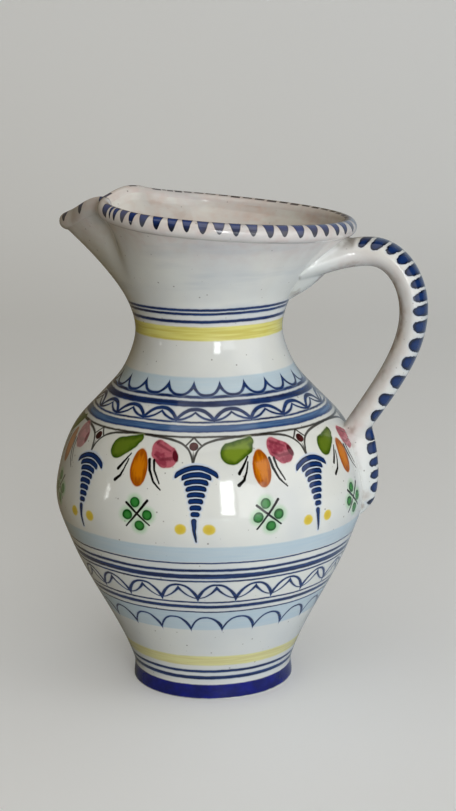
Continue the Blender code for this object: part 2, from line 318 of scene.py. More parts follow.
def form_tree(name, inputs, output):
    """A node tree with a flat sheet: across it runs the turn, up it the share of the line that is given."""
    tree = bpy.data.node_groups.new(name, "GeometryNodeTree")
    for label, kind in inputs:
        tree.interface.new_socket(label, in_out="INPUT", socket_type="NodeSocket" + kind)
    tree.interface.new_socket(output, in_out="OUTPUT", socket_type="NodeSocketGeometry")
    nodes = Nodes(tree)
    given = nodes.make("NodeGroupInput")
    line = nodes.make("GeometryNodeMeshToCurve", None, given)
    sheet = nodes.make("GeometryNodeMeshGrid", None, 1.0, 1.0, given.out(1), given.out(2))
    across, along, _flat = nodes.split(nodes.make("GeometryNodeInputPosition"))
    turn = (across + 0.5) * (2.0 * pi)
    share = along + 0.5
    settings = {"mode": "FACTOR"}
    spot = nodes.make("GeometryNodeSampleCurve", settings, Curves=line, Factor=share, out="Position")
    return nodes, given, sheet, turn, share, spot


def finish_form(nodes, given, sheet, place):
    """Moves the sheet's points to their places, closes its seam and poles, and glazes it."""
    shape = nodes.make("GeometryNodeSetPosition", None, Geometry=sheet, Position=place)
    closed = nodes.make("GeometryNodeMergeByDistance", None, Geometry=shape, Distance=WELD)
    whole = nodes.make("GeometryNodeRealizeInstances", None, Geometry=closed)
    glazed = nodes.make("GeometryNodeSetMaterial", None, Geometry=whole, Material=given.out("Glaze"))
    nodes.make("NodeGroupOutput", None, glazed)
    return nodes.tree


def turning_tree():
    """Turns a profile round the Z axis. Each point keeps its turn and its place along the profile as ring."""
    inputs = (
        ("Profile", "Geometry"), ("Turn steps", "Int"), ("Profile steps", "Int"), ("Profile length", "Float"),
        ("Glaze", "Material"),
    )
    nodes, given, sheet, turn, share, spot = form_tree("turned_form", inputs, "Form")
    radius, _none, height = nodes.split(spot)
    east, north = nodes.math("COSINE", turn), nodes.math("SINE", turn)
    ring = nodes.join(east, north, share * given.out("Profile length"))
    settings = {"data_type": "FLOAT_VECTOR", "domain": "POINT"}
    marked = nodes.make("GeometryNodeStoreNamedAttribute", settings, Geometry=sheet, Name="ring", Value=ring)
    return finish_form(nodes, given, marked, nodes.join(radius * east, radius * north, height))


def settled(obj):
    """The object's evaluated shape as a plain mesh object in its place, at the origin."""
    graph = bpy.context.evaluated_depsgraph_get()
    mesh = bpy.data.meshes.new_from_object(obj.evaluated_get(graph))
    name = obj.name
    mesh.name = name
    bpy.data.objects.remove(obj, do_unlink=True)
    return new_object(name, mesh)


def grown(name, points, tree, values):
    """The form that a node tree makes along a line of points, with its inputs set by their identifiers."""
    mesh = bpy.data.meshes.new(name + "_line")
    edges = [(i, i + 1) for i in range(len(points) - 1)]
    mesh.from_pydata([(x * MM, 0.0, z * MM) for x, z in points], edges, [])
    obj = new_object(name, mesh)
    modifier = obj.modifiers.new("form", "NODES")
    modifier.node_group = tree
    for item in tree.interface.items_tree:
        if item.item_type == "SOCKET" and item.in_out == "INPUT" and item.name in values:
            modifier[item.identifier] = values[item.name]
    return settled(obj)


def turned_piece(name, tree, profile, steps, material):
    length = profile_length(profile)
    made = grown(name, profile, tree, {
        "Turn steps": TURN_STEPS + 1, "Profile steps": steps + 1, "Profile length": length, "Glaze": material,
    })
    with working(made.data) as edit:
        bmesh.ops.recalc_face_normals(edit, faces=edit.faces)
    made.data.shade_smooth()
    made.data.set_sharp_from_angle(angle=SHARP_EDGE)
    return made, length


def vertex_vectors(mesh, name):
    found = np.empty(len(mesh.vertices) * 3)
    mesh.attributes[name].data.foreach_get("vector", found)
    return found.reshape(-1, 3)


def lay_flat(mesh, splits):
    """A map for baking: the turn runs across, the profile up, in stretches with these shares of height."""
    ring = vertex_vectors(mesh, "ring")
    turn = np.mod(np.arctan2(ring[:, 1], ring[:, 0]), 2.0 * pi) / (2.0 * pi)
    turn[turn > 1.0 - 1e-5] = 0.0
    used = 1.0 - 2.0 * MAP_EDGE
    height = MAP_EDGE + used * np.interp(ring[:, 2], *zip(*splits))
    layer = mesh.uv_layers.new(name="OFBake")
    for face in mesh.polygons:
        spots = [turn[v] for v in face.vertices]
        wraps = max(spots) - min(spots) > 0.5
        for loop, vertex in zip(face.loop_indices, face.vertices):
            across = turn[vertex]
            if wraps and across < 0.5:
                across += 1.0
            layer.data[loop].uv = (MAP_EDGE + used * across, height[vertex])


# Painting on the glaze

COBALT = colour(31, 59, 112)
COBALT_DEEP = colour(13, 31, 74)
COBALT_THIN = colour(84, 118, 160)
BLUE_BLEED = colour(150, 172, 205)
STROKE = colour(15, 47, 101)
STROKE_DEEP = colour(3, 15, 41)
INK = colour(1, 1, 1)
UMBER = colour(30, 24, 16)
PALE_BLUE = colour(186, 204, 216)
YELLOW = colour(224, 216, 116)
YELLOW_DEEP = colour(208, 194, 86)
WHITE = colour(227, 227, 222)
ROSE_WHITE = colour(212, 194, 189)
GREY_WHITE = colour(214, 216, 216)
FOOT_BLUE = colour(0, 12, 122)
FOOT_BLUE_DEEP = colour(0, 9, 90)
BARE_CLAY = colour(196, 150, 118)

# Painted bands on the body, as heights in millimetres from low to high
PALE_BANDS = ((42.4, 53.9), (83.3, 91.3), (157.8, 166.2))
FOOT_BAND = (0.9, 8.1)
DARK_BAND = (143.3, 146.2)
DARK_BAND_MIDDLE = 145.0
# Low and high edge, and strength
YELLOW_BANDS = ((19.7, 25.5, 0.7), (182.8, 189.7, 0.95))

# Blue hoops as height and half thickness. Only a hoop with more paint in it bleeds into the glaze
BODY_HOOPS = (
    (12.2, 1.05), (16.1, 0.8), (53.9, 0.4), (57.1, 0.95), (59.9, 0.5), (72.3, 0.5), (75.1, 1.3), (78.5, 0.75),
    (82.6, 0.42), (154.9, 1.25), (157.8, 0.65), (147.4, 0.42), (192.3, 0.8), (196.3, 0.75), (198.3, 0.75),
)
COLLAR_HOOPS = ((192.3, 0.8), (196.3, 0.7), (198.3, 0.7))
BLEEDING_HALF = 0.55
BROWN_HOOP = (141.5, 0.42)

# Fruit band: repeats round the belly, millimetres in a degree there, and where the two rows stand
FRUIT_REPEATS = 8
FRUIT_ARC = 76.0 * radians(1)
CONE_PHASE, FRUIT_PHASE = -6.3, 18.4
# Groups that the painter set lower, higher and fainter, or fuller than the others
LOW_GROUP, HIGH_GROUP, PLUMP_GROUP = 1.0, 6.0, 0.0
TIER_RISE, TIER_COUNT, TIER_FOOT = 2.99, 8.0, 106.3

# Where brush strokes stand along their row, and the number of the stroke that stands there:
# round the rim in degrees from the beak, and along the handle's back in millimetres
RIM_STROKES = (
    (-5.4, -4.0), (56.2, 0.0), (61.4, 2.0), (75.8, 5.0), (98.1, 9.0), (128.4, 14.0), (162.5, 19.0),
    (180.0, 21.0),
)
STRAP_STROKES = (
    (29.4, 0.0), (76.3, 8.0), (83.6, 9.0), (101.5, 11.0), (133.8, 14.0), (143.9, 15.0), (154.7, 16.0),
    (173.4, 19.0), (191.0, 21.0),
)
# Millimetres that all the paint on the handle moves towards its upper end
STRAP_SHIFT = 1.6


def new_material(name):
    """An empty material, its nodes, and the place on the surface in millimetres."""
    material = bpy.data.materials.new(name)
    material.use_nodes = True
    material.node_tree.nodes.clear()
    nodes = Nodes(material.node_tree)
    place = nodes.make("ShaderNodeTexCoord", out="Object")
    return material, nodes, nodes.vector("SCALE", place, Scale=1.0 / MM)


def repeat(angle, count, phase):
    """Number of the repeat, and degrees from its middle."""
    pitch = 360.0 / count
    turn = (angle - phase) / pitch
    number = angle.nodes.math("FLOOR", turn + 0.5)
    local = (turn - number) * pitch
    return angle.nodes.math("FLOORED_MODULO", number, float(count)), local


def stroke_count(place, stops):
    """How many strokes of a row have been passed at a place, in parts too."""
    (start, first), (end, last) = stops[:2]
    count = place.slide(start, end, first, last)
    for (low, first), (high, last) in zip(stops[1:], stops[2:]):
        count = count + place.slide(low, high, 0.0, last - first)
    return count, place.nodes.math("FLOOR", count + 0.5)


def stroke(point, start, end, thick, thin):
    """Distance outside a brush stroke that runs straight and changes from thick to thin."""
    nodes = point.nodes
    run = (end[0] - start[0], end[1] - start[1])
    square = run[0] ** 2 + run[1] ** 2
    offset = nodes.vector("SUBTRACT", point, (*start, 0.0))
    along = nodes.vector("DOT_PRODUCT", offset, (run[0] / square, run[1] / square, 0.0), out="Value")
    held = nodes.math("ADD", along, 0.0, clamp=True)
    gap = nodes.vector("SUBTRACT", offset, nodes.vector("SCALE", (*run, 0.0), Scale=held))
    width = held * (thin - thick) + thick
    return nodes.vector("LENGTH", gap, out="Value") - width


def brush(point, *marks):
    """Distance outside a bent brush stroke, from marks of place and half width."""
    return point.nodes.least(*[
        stroke(point, first[:2], last[:2], first[2], last[2]) for first, last in zip(marks, marks[1:])
    ])


def oval(point, middle, half, tilt=0.0):
    """Distance from an oval's middle as a share of its edge's."""
    settings = {"vector_type": "TEXTURE"}
    place, turn, scale = (*middle, 0.0), (0.0, 0.0, radians(tilt)), (*half, 1.0)
    local = point.nodes.make("ShaderNodeMapping", settings, point, place, turn, scale)
    return point.nodes.vector("LENGTH", local, out="Value")


def scallop_row(angle, height, count, phase, cusp, bow, radius, power=2.0):
    """Distance from a row of brushed bows that meet at the cusp height, with their middles at the bow height.

    Also gives the place across each bow, from -1 at one cusp to 1 at the next.
    """
    half = 180.0 / count
    _number, local = repeat(angle, count, phase + half)
    share = abs(local) / half
    rise = cusp - bow
    curve = share**power * rise + bow
    slope = share ** (power - 1.0) * (power * rise / (half * radians(1) * radius))
    return abs(height - curve) / (slope * slope + 1.0).root(), local / half


class Glaze:
    """A material of white tin glaze, with what is painted on it so far."""

    def __init__(self, name):
        self.material, self.nodes, self.mm = new_material(name)
        self.x, self.y, self.z = self.nodes.split(self.mm)
        self.cloud = self.nodes.noise(self.mm, 0.022, 3.0)
        self.fine = self.nodes.noise(self.mm, 0.21, 2.0)
        self.base = self.nodes.blend(self.cloud.ease(0.35, 0.7), WHITE, GREY_WHITE)

    def paint(self, share, tone):
        self.base = self.nodes.blend(share, self.base, tone)

    def ground(self, tint, share):
        """Tints the white where the glaze is thin, and strews pinholes and specks over it."""
        self.paint(share * self.fine.ease(0.35, 0.75, 0.55, 1.0), tint)
        settings = {"feature": "F1"}
        cells = self.nodes.make("ShaderNodeTexVoronoi", settings, Vector=self.mm, Scale=0.25, Randomness=1.0)
        lucky = self.nodes.split(cells.out("Color"))[0]
        speck = (cells - lucky.slide(0.3, 1.0, 0.03, 0.12)).ease(0.03, -0.03)
        self.paint(speck * lucky.slide(0.3, 1.0, 0.3, 0.65), colour(104, 92, 84))

    def take_brush(self):
        """The painter's hand: how far a line strays, and how the paint streaks and pools."""
        nodes, mm = self.nodes, self.mm
        drift = nodes.split(nodes.noise(mm, 0.03, 1.0, out=1))
        shake = nodes.split(nodes.noise(mm, 0.33, 1.0, out=1))
        self.drift, self.shake = drift[0] - 0.5, shake[0] - 0.5
        self.height = self.z + (drift[1] - 0.5) * 1.1 + (shake[1] - 0.5) * 0.34
        self.streak = nodes.streaks(mm, (0.045, 0.045, 0.9), 2.0)
        self.pool = nodes.noise(mm, 0.16, 2.0)
        self.blue = nodes.blend(self.streak.ease(0.3, 0.72), COBALT_DEEP, COBALT)

    def band(self, low, high, soft):
        return self.height.ease(low - soft, low + soft) * self.height.ease(high + soft, high - soft)

    def hoop(self, middle, half, soft=0.3):
        return abs(self.height - middle).ease(half + soft, half - soft)

    def hoops(self, lines):
        bleed = [self.hoop(middle, half + 0.5, 0.8) for middle, half in lines if half > BLEEDING_HALF]
        self.paint(self.nodes.most(*bleed) * 0.3, BLUE_BLEED)
        self.paint(self.nodes.most(*[self.hoop(*line) for line in lines]), self.blue)

    def finish(self, roughness, strength=0.06):
        """Glossy, with faint ripples of the thrown wall and the glaze's own unevenness."""
        nodes = self.nodes
        ripple = nodes.streaks(self.mm, (0.012, 0.012, 0.16), 1.0)
        dents = nodes.noise(self.mm, 0.09, 1.0)
        level = ripple * 0.8 + self.fine * 0.4 + dents * 1.6
        bump = nodes.make("ShaderNodeBump", None, Strength=strength, Distance=0.002, Height=level)
        gloss = {"IOR": 1.5, "Coat_Weight": 0.25, "Coat_Roughness": 0.04}
        nodes.surface(Base_Color=self.base, Roughness=roughness, Normal=bump, **gloss)
        return self.material


def paint_bands(glaze):
    """Washes, hoops and solid bands."""
    nodes, height, streak = glaze.nodes, glaze.height, glaze.streak
    for low, high in PALE_BANDS:
        wash = glaze.band(low, high, 0.5) * streak.ease(0.2, 0.8, 0.75, 1.0)
        glaze.paint(wash, PALE_BLUE)
    for low, high, strength in YELLOW_BANDS:
        tone = nodes.blend(streak.ease(0.35, 0.7), YELLOW, YELLOW_DEEP)
        glaze.paint(glaze.band(low, high, 0.5) * strength, tone)
    glaze.hoops(BODY_HOOPS)
    tone = nodes.blend(abs(height - DARK_BAND_MIDDLE).ease(0.2, 1.5), COBALT_THIN, COBALT)
    tone = nodes.blend(streak.ease(0.4, 0.6, 0.0, 0.5), tone, COBALT)
    glaze.paint(glaze.band(*DARK_BAND, 0.3), tone)
    tone = nodes.blend(glaze.pool.ease(0.3, 0.7), FOOT_BLUE, FOOT_BLUE_DEEP)
    glaze.paint(glaze.band(*FOOT_BAND, 0.35), tone)
    glaze.paint(glaze.hoop(*BROWN_HOOP) * 0.95, UMBER)


def paint_bows(glaze, angle):
    """Scallops at the washes, and the two rows of interlaced bows."""
    nodes, height = glaze.nodes, glaze.height
    # The upper scallops crowd and spread twice round the neck
    bent = angle - nodes.math("COSINE", (angle + 10.0) * radians(2.0)) * 1.9
    upper, upper_side = scallop_row(bent, height, 22, 4.7, 162.9, 158.5, 50.0, 2.7)
    lower, lower_side = scallop_row(angle, height, 23, 5.1, 43.3, 50.4, 59.0, 2.4)
    arches_up, _side = scallop_row(angle, height, 20, 1.95, 148.3, 152.7, 58.0, 2.3)
    cups_up, _side = scallop_row(angle, height, 20, 10.95, 151.4, 148.2, 58.0)
    arches_low, arch_side = scallop_row(angle, height, 23, 9.73, 62.3, 70.3, 68.0, 2.3)
    cups_low, cup_side = scallop_row(angle, height, 23, 1.9, 68.6, 62.4, 68.0)
    brushed = nodes.least(
        upper - (abs(upper_side) ** 4.0 * 0.35 + 0.55),
        lower - (lower_side.ease(0.2, 1.0) * 0.4 + 0.45),
        arches_up - 0.75,
        cups_up - 0.45,
        arches_low - (abs(arch_side) ** 3.0 * 0.4 + 0.55),
        cups_low - (abs(cup_side) ** 3.0 * 0.45 + 0.3),
    )
    glaze.paint(brushed.ease(0.9, 0.0) * 0.3, BLUE_BLEED)
    glaze.paint(brushed.ease(0.25, -0.2), glaze.blue)


def paint_garland(glaze, from_cone, spot, cone_x):
    """Brown lines that hang from the brown hoop, with a diamond and a dot where they part."""
    nodes, height = glaze.nodes, glaze.height
    root = (abs(from_cone) + 0.02).root()
    drop = nodes.math("EXPONENT", root * -0.8) * 16.4
    steep = drop * 0.3 / root
    garland = abs(height + drop - 141.75) / (steep * steep + 1.0).root()
    garland = nodes.most(garland - 0.48, 130.7 - height)
    folded = nodes.join(abs(cone_x), height)
    diamond = stroke(folded, (0.2, 141.2), (4.3, 137.8), 0.42, 0.36)
    glaze.paint(nodes.least(garland, diamond).ease(0.25, -0.2) * 0.93, UMBER)
    dot = oval(spot, (0.1, 137.7), (2.4, 1.8))
    tone = nodes.blend(glaze.pool.ease(0.35, 0.65), colour(50, 14, 16), colour(88, 36, 36))
    glaze.paint(dot.ease(1.08, 0.9), tone)


def paint_cones(glaze, spot, cone_x):
    """Cones of stacked bows, each with a tail and two yellow dots."""
    nodes, height = glaze.nodes, glaze.height
    side = cone_x - 1.7
    tier = (height + side * side * 0.037 - TIER_FOOT) / TIER_RISE
    number = nodes.math("FLOOR", tier)
    # A bow leans more towards its ends, so its thickness is measured square to it
    lean = side * 0.074
    inside = (tier - number - 0.5) * TIER_RISE / (lean * lean + 1.0).root()
    share = nodes.math("MINIMUM", number / (TIER_COUNT - 1.0), 1.0)
    half = share * 4.6 + share**8.0 * 3.6 + 1.9
    over = nodes.math("MAXIMUM", abs(side) - half + 1.0, 0.0)
    bows = (over * over + inside * inside).root() - 1.18
    bows = nodes.most(bows, tier * -TIER_RISE, (tier - TIER_COUNT) * TIER_RISE)
    cone = nodes.least(bows, brush(spot, (1.2, 104.6, 1.25), (1.3, 100.0, 0.85), (2.0, 94.4, 0.4)))
    depth = glaze.pool * 0.6 + cone.ease(-1.0, 0.0, 0.5, 0.0)
    tone = nodes.blend(depth.ease(0.25, 0.75), STROKE_DEEP, STROKE)
    glaze.paint(cone.ease(1.1, 0.0) * 0.55, colour(172, 192, 228))
    glaze.paint(cone.ease(0.22, -0.18), tone)
    yolk = oval(nodes.join(abs(cone_x - 1.4) - 6.3, height), (0.0, 100.6), (2.8, 2.7))
    tone = nodes.blend(yolk.ease(0.3, 1.0), colour(214, 182, 14), colour(220, 196, 60))
    glaze.paint(yolk.ease(1.13, 0.78) * 0.95, tone)


def paint_fruit(glaze, fruit, grain, plump, kept):
    """Pear, pomegranate and orange, each with a faint halo, and their leaf strokes."""
    nodes, pool = glaze.nodes, glaze.pool
    pear = stroke(fruit, (-14.8, 134.4), (-3.2, 139.3), 4.6, 1.7)
    bulge = stroke(fruit, (-12.8, 133.6), (-5.4, 136.6), 4.0, 2.7) + (1.0 - plump) * 1.2
    pear = nodes.math("SMOOTH_MIN", pear, bulge, 2.2)
    edge = (pear + (pool - 0.5) * 2.6 + (grain - 0.5) * 1.6).ease(-2.8, 0.2)
    tone = nodes.blend(edge, colour(118, 140, 38), colour(50, 80, 4))
    tone = nodes.blend((1.0 - plump) * 0.4, tone, colour(50, 76, 2))
    glaze.paint(pear.ease(1.1, 0.0) * 0.3, colour(206, 214, 160))
    glaze.paint(pear.ease(0.3, -0.3), tone)

    rose = nodes.least(
        stroke(fruit, (8.6, 136.0), (14.3, 132.7), 3.6, 4.6),
        stroke(fruit, (8.3, 134.2), (12.4, 131.6), 3.1, 3.7),
    )
    crown = oval(fruit, (17.8, 133.2), (1.5, 2.7), 20.0)
    seam = nodes.least(
        stroke(fruit, (7.6, 138.0), (15.0, 135.3), 0.5, 0.3),
        brush(fruit, (7.2, 133.2, 0.3), (10.6, 131.5, 0.5), (16.6, 132.2, 0.6)),
    )
    edge = (pool + (grain - 0.5) * 0.7).ease(0.35, 0.65)
    tone = nodes.blend(edge, colour(146, 56, 74), colour(184, 94, 108))
    tone = nodes.blend(seam.ease(0.5, -0.2) * 0.65, tone, colour(112, 34, 50))
    glaze.paint(rose.ease(1.0, 0.0) * 0.35, colour(222, 186, 184))
    glaze.paint(rose.ease(0.3, -0.3) * kept, tone)
    glaze.paint(crown.ease(1.15, 0.75) * kept, colour(92, 18, 34))

    orange = oval(fruit, (0.1, 126.9), (4.5, 8.4), 2.0)
    bristles = nodes.streaks(fruit, (0.75, 0.13, 0.0), 2.0)
    edge = (orange + (pool - 0.5) * 0.6 + (bristles - 0.5) * 1.1).ease(0.3, 0.95)
    tone = nodes.blend(edge, colour(208, 120, 2), colour(160, 78, 0))
    glaze.paint(orange.ease(1.12, 0.98) * 0.4, colour(226, 190, 140))
    glaze.paint(orange.ease(1.04, 0.95) * kept, tone)

    leaves = nodes.least(
        stroke(fruit, (-6.0, 132.8), (-11.1, 125.6), 0.22, 0.66),
        brush(fruit, (-6.4, 130.4, 0.22), (-7.6, 126.0, 0.32), (-9.2, 122.6, 0.5), (-11.8, 120.4, 0.72)),
        brush(fruit, (4.9, 131.0, 0.66), (5.8, 126.6, 0.54), (8.4, 121.6, 0.38), (12.1, 118.0, 0.2)),
        brush(fruit, (7.3, 130.9, 0.52), (8.1, 126.8, 0.4), (11.4, 120.9, 0.22)),
    )
    glaze.paint(leaves.ease(0.34, -0.06) * kept, INK)


def paint_clover(glaze, fruit, kept):
    """Four green leaves under the fruit, with an ink cross between them."""
    nodes = glaze.nodes
    clover = nodes.vector("SUBTRACT", fruit, (1.3, 105.9, 0.0))
    leaf = nodes.least(*[
        nodes.vector("LENGTH", nodes.vector("SUBTRACT", clover, (*middle, 0.0)), out="Value")
        for middle in ((-1.3, 5.4), (-4.9, -0.7), (5.0, 0.0), (1.2, -5.3))
    ])
    edge = (leaf + (glaze.pool - 0.5) * 2.4).ease(0.9, 2.3)
    tone = nodes.blend(edge, colour(50, 130, 54), colour(10, 76, 22))
    glaze.paint(leaf.ease(5.4, 2.2) * 0.62, colour(146, 200, 146))
    glaze.paint(leaf.ease(2.7, 2.25) * kept, tone)
    cross = nodes.least(
        stroke(clover, (-5.6, 4.8), (6.0, -4.7), 0.55, 0.3),
        stroke(clover, (5.0, 6.6), (-5.4, -6.2), 0.6, 0.3),
    )
    glaze.paint(cross.ease(0.3, -0.1) * kept, INK)


def paint_fruit_band(glaze, angle, plain_angle):
    """Cones and diamonds in one row of repeats, fruit and clover in the row between them."""
    nodes, height = glaze.nodes, glaze.height
    # The painter's repeats are a little uneven round the belly
    wave = plain_angle * radians(1)
    even = (
        angle + 1.1
        - nodes.math("COSINE", wave) * 0.56 - nodes.math("SINE", wave) * 1.34
        - nodes.math("COSINE", wave * 2.0) * 0.44 - nodes.math("SINE", wave * 2.0) * 0.41
    )
    _number, from_cone = repeat(even, FRUIT_REPEATS, CONE_PHASE)
    group, from_fruit = repeat(even, FRUIT_REPEATS, FRUIT_PHASE)
    cone_x = from_cone * FRUIT_ARC
    spot = nodes.join(cone_x, height)
    paint_garland(glaze, from_cone, spot, cone_x)
    paint_cones(glaze, spot, cone_x)

    luck = nodes.chance(group + 11.0)
    odd_groups = (LOW_GROUP, HIGH_GROUP, PLUMP_GROUP)
    low, high, plump = [nodes.math("COMPARE", group, number, 0.5) for number in odd_groups]
    fruit_x = from_fruit * FRUIT_ARC + (luck[0] - 0.5) * 0.7 + low * 3.3
    fruit_z = height + (luck[1] - 0.5) * 0.6 + low * 2.4 - high * 1.7
    fruit = nodes.join(fruit_x, fruit_z)
    kept = 1.0 - high * 0.33
    paint_fruit(glaze, fruit, nodes.noise(glaze.mm, 0.42, 2.0), plump, kept)
    paint_clover(glaze, fruit, kept)


def body_glaze():
    """The painted outside of the body."""
    glaze = Glaze("painted_body_glaze")
    glaze.ground(ROSE_WHITE, glaze.z.ease(168.0, 200.0) * 0.25)
    glaze.take_brush()
    # Degrees round the pitcher from its painted front, growing towards the handle
    plain_angle = glaze.nodes.math("ARCTAN2", glaze.y, glaze.x) * (180.0 / pi) + FRONT_ANGLE
    angle = plain_angle + glaze.drift * 1.6 + glaze.shake * 0.35
    paint_bands(glaze)
    paint_bows(glaze, angle)
    paint_fruit_band(glaze, angle, plain_angle)
    return glaze.finish(glaze.cloud.ease(0.3, 0.8, 0.07, 0.14))


def inside_glaze():
    """Plain rosy glaze on the inside of the jug, with a painted highlight in whiter streaks towards the
    mouth.
    """
    glaze = Glaze("inside_glaze")
    glaze.ground(colour(214, 193, 183), glaze.nodes.noise(glaze.mm, 0.04, 2.0).ease(0.3, 0.7, 0.4, 0.9))
    smear = glaze.nodes.streaks(glaze.mm, (0.05, 0.05, 0.11), 3.0)
    # Painted highlight: whiter streaks high on the inside, towards the mouth
    glaze.paint(smear.ease(0.5, 0.66) * glaze.z.ease(222.0, 236.0) * 0.6, WHITE)
    glaze.paint(smear.ease(0.46, 0.32) * 0.4, colour(192, 166, 154))
    return glaze.finish(glaze.cloud.ease(0.3, 0.8, 0.08, 0.16), 0.1)


def foot_clay():
    """Bare fired clay under the foot, with a thin skin of glaze towards its edge."""
    material, nodes, mm = new_material("bare_foot_clay")
    grit = nodes.noise(mm, 0.9, 4.0)
    cloud = nodes.noise(mm, 0.05, 2.0)
    base = nodes.blend(grit.ease(0.3, 0.75), BARE_CLAY, colour(160, 112, 84))
    x, y, _z = nodes.split(mm)
    radius = (x * x + y * y).root()
    skin = (radius + (cloud - 0.5) * 8.0).ease(36.5, 39.5)
    base = nodes.blend(skin * 0.8, base, GREY_WHITE)
    rough = skin.ease(0.0, 1.0, 0.85, 0.3)
    bump = nodes.make("ShaderNodeBump", None, Strength=0.25, Distance=0.001, Height=grit)
    nodes.surface(Base_Color=base, Roughness=rough, Normal=bump)
    return material


def collar_glaze(bead_start, bead_end):
    """The collar's outside: blue lines at the neck, rosy thin glaze, and brush strokes over the roll."""
    glaze = Glaze("painted_collar_glaze")
    nodes = glaze.nodes
    east, north, along = nodes.marks("ring")
    glaze.ground(ROSE_WHITE, along.ease(24.0, bead_start + 4.0) * 0.7 + 0.06)
    glaze.take_brush()
    smear = nodes.streaks(glaze.mm, (0.02, 0.02, 0.13), 3.0)
    glaze.paint(smear.ease(0.48, 0.7) * 0.4, colour(188, 192, 197))
    glaze.hoops(COLLAR_HOOPS)

    # Rim strokes: wide on top of the roll, narrower down its outside and on the beak
    from_beak = nodes.math("ARCTAN2", abs(north), east * -1.0) * (180.0 / pi)
    count, number = stroke_count(from_beak, RIM_STROKES)
    luck = nodes.chance(number + north.ease(0.0, 0.01, 5.0, 105.0))
    turn = (along - bead_start) * (270.0 / (bead_end - bead_start)) - 90.0
    down = (118.0 - turn + (luck[0] - 0.5) * 10.0) / 136.0
    side = abs(count - number + (luck[1] - 0.5) * 0.1 + glaze.shake * 0.06)
    wide = down.slide(0.3, 1.0, 0.4, 0.17) * luck[2].slide(0.0, 1.0, 0.88, 1.04)
    wide = wide * from_beak.slide(46.0, 58.0, 0.4, 1.0)
    edge = (side / wide) ** 2.0 + down.slide(0.0, 2.0, 0.0, 2.0) ** 7.0
    touched = edge.ease(1.12, 0.86) * down.ease(-0.03, 0.03)
    tone = nodes.blend((down + (glaze.pool - 0.5) * 0.5).ease(0.35, 0.95), colour(32, 58, 122), STROKE_DEEP)
    tone = nodes.blend(edge.ease(0.35, 1.0) * 0.75, tone, STROKE_DEEP)
    tone = nodes.blend(north.ease(0.15, 0.55) * 0.85, tone, colour(66, 54, 46))
    glaze.paint(touched * luck[2].slide(0.0, 1.0, 1.0, 0.85), tone)
    return glaze.finish(glaze.cloud.ease(0.3, 0.8, 0.07, 0.14))


def strap_glaze():
    """The handle: rosy glaze, blue strokes over its back, brown where the glaze ran thin inside, and painted
    shade in the gap under the rim.
    """
    glaze = Glaze("painted_strap_glaze")
    nodes, mm = glaze.nodes, glaze.mm
    along, around, _none = nodes.marks("strap")
    along = along + STRAP_SHIFT
    pool = nodes.noise(mm, 0.16, 2.0)
    shake = nodes.split(nodes.noise(mm, 0.33, 1.0, out=1))[0]
    rosy = around.ease(40.0, 150.0, 0.15, 0.75)
    rosy = rosy * along.ease(8.0, 30.0) * along.ease(165.0, 140.0)
    glaze.ground(ROSE_WHITE, rosy)
    stain = nodes.noise(mm, 0.09, 3.0).ease(0.52, 0.7) * around.ease(95.0, 150.0)
    glaze.paint(stain * 0.55, colour(128, 92, 60))

    # Painted shade, darkened brown, in the narrow gap between the strap's top and the rim above it
    radius = (glaze.x * glaze.x + glaze.y * glaze.y).root()
    crevice_shade = radius.ease(75.5, 73.5) * glaze.z.ease(224.0, 227.5) * pool.ease(0.25, 0.6, 0.4, 1.0)
    glaze.paint(crevice_shade * 0.6, colour(104, 92, 74))

    walk = along + (shake - 0.5) * 0.6 + along.slide(36.0, 72.0, 0.045, 0.0) * (around - 38.0)
    count, number = stroke_count(walk, STRAP_STROKES)
    local = abs(count - number) * 2.0
    luck = nodes.chance(number + 17.0)
    reach = along.slide(34.0, 80.0, 70.0, 88.0) * luck[0].slide(0.0, 1.0, 0.94, 1.06)
    reach = reach * along.slide(140.0, 156.0, 1.0, 0.72) * along.slide(152.0, 182.0, 1.0, 2.0)
    wide = luck[1].slide(0.0, 1.0, 0.76, 0.88) * along.slide(84.0, 100.0, 1.0, 0.86)
    across = local / wide
    shape = across * across + (around / reach) ** 5.0
    on_row = walk.ease(32.2, 32.7) * along.ease(187.0, 185.8)
    touched = shape.ease(1.08, 0.88) * on_row
    tone = nodes.blend((shape + (pool - 0.5) * 0.7).ease(0.05, 0.9), STROKE, STROKE_DEEP)
    glaze.paint(shape.ease(1.6, 1.0) * on_row * 0.25, BLUE_BLEED)
    glaze.paint(touched, tone)
    rough = glaze.cloud.ease(0.3, 0.8, 0.08, 0.15) + along.ease(136.0, 150.0, 0.0, 0.2)
    return glaze.finish(rough, 0.05)


# Turned pieces

def body_profile():
    outer = wall_points(0.8, SEAM_Z, 1.5) + [(wall_radius(SEAM_Z + 1.6) - 0.5, SEAM_Z + 1.6)]
    foot = wall_radius(0.0)
    under = [(0.0, 0.0), (foot - 3.0, 0.0), (foot - 0.9, 0.08), (foot - 0.25, 0.3)]
    inner_top = SEAM_Z + SEAM_BEVEL
    inner = wall_points(FLOOR_Z, inner_top, 3.0, BODY_WALL)
    inner = [point for point in inner if FLOOR_Z + BODY_WALL < point[1] < inner_top]
    top = (wall_radius(inner_top) - BODY_WALL, inner_top)
    floor = [(wall_radius(FLOOR_Z) - 2.0 * BODY_WALL, FLOOR_Z), (0.0, FLOOR_Z)]
    return under, under + outer, [top] + inner[::-1] + floor


def split_materials(mesh, stops, materials):
    """Gives each face the material of the stretch of profile that it lies on."""
    ring = vertex_vectors(mesh, "ring")
    mesh.materials.clear()
    for material in materials:
        mesh.materials.append(material)
    for face in mesh.polygons:
        spot = sum(ring[v][2] for v in face.vertices) / len(face.vertices)
        face.material_index = sum(1 for stop in stops if spot > stop)


